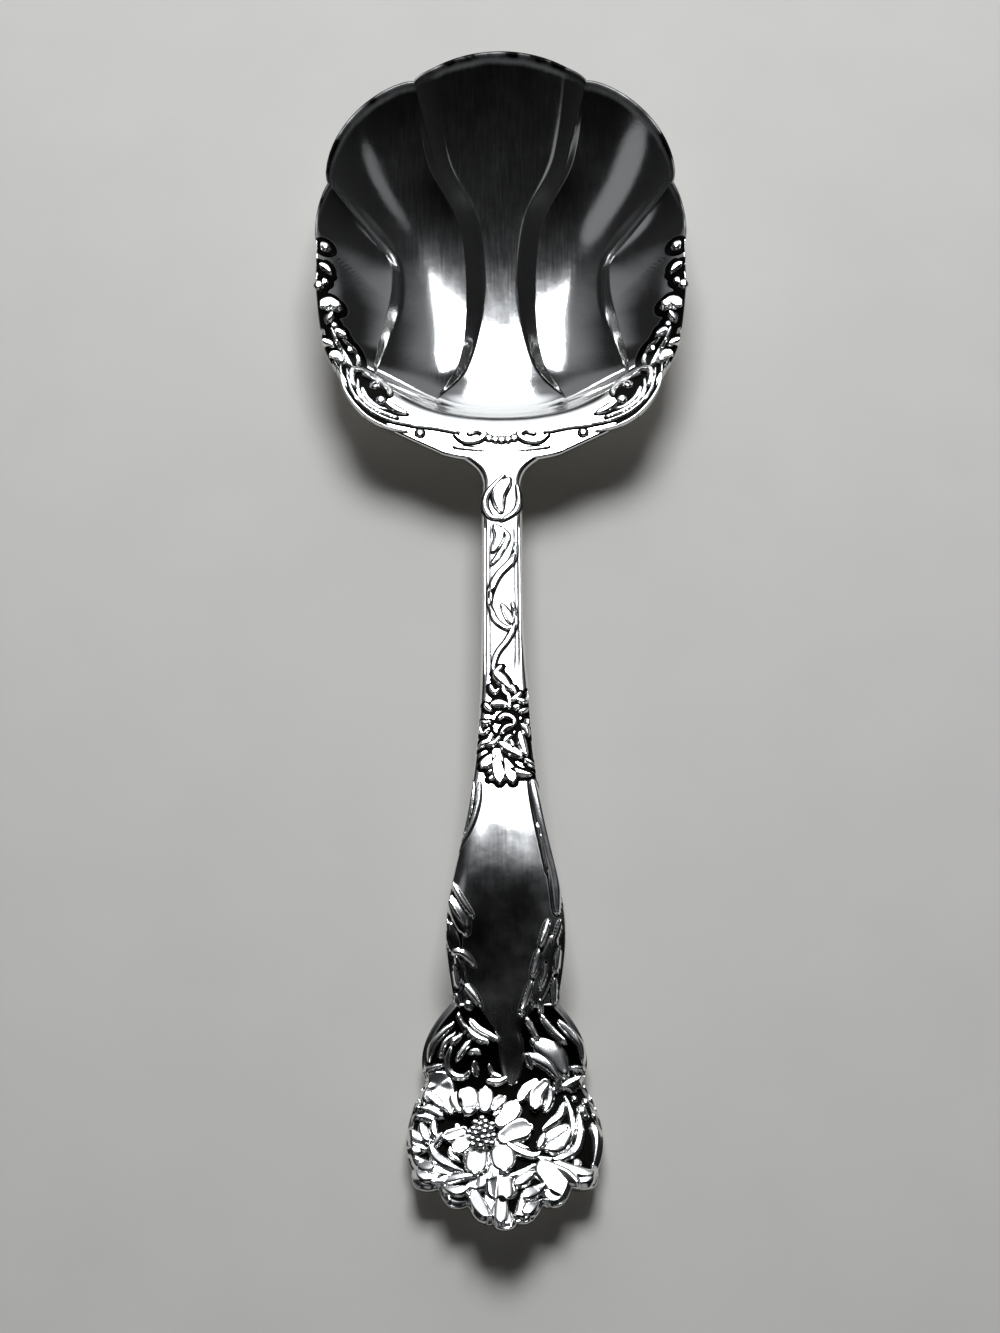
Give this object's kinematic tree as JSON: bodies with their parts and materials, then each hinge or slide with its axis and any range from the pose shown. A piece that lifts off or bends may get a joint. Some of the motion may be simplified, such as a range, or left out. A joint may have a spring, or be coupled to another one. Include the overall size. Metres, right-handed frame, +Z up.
{
  "type": "berry spoon",
  "caption": "Silver-plated berry spoon: a wide scalloped, fluted bowl with scroll borders on a slim stem, and a handle with a leaf collar, a smooth panel and a blossom end, for serving fruit.",
  "frame": {"origin": "on the table, under the middle of the spoon's length and width", "axes": "+Y along the spoon, from the handle's end to the bowl's tip; +Z up from the table; +X to the right when the bowl points away from the viewer"},
  "size_m": [0.0688, 0.2253, 0.0195],
  "materials": {
    "bowl_silver": "mirror-polished silver plate",
    "handle_silver": "polished silver plate with tarnish in the struck recesses",
    "mount_silver": "polished silver plate over cast scrolls, dark in the recesses",
    "foliage_silver": "polished silver plate over cast foliage, dark in the recesses"
  },
  "bodies": {
    "root": {"bowl": "bowl_silver", "handle": "handle_silver", "left_rim_mount": "mount_silver", "right_rim_mount": "mount_silver", "shoulder_cartouche": "mount_silver", "leaf_collar": "foliage_silver", "blossom": "foliage_silver", "bud_spray": "foliage_silver"}
  },
  "joints": []
}
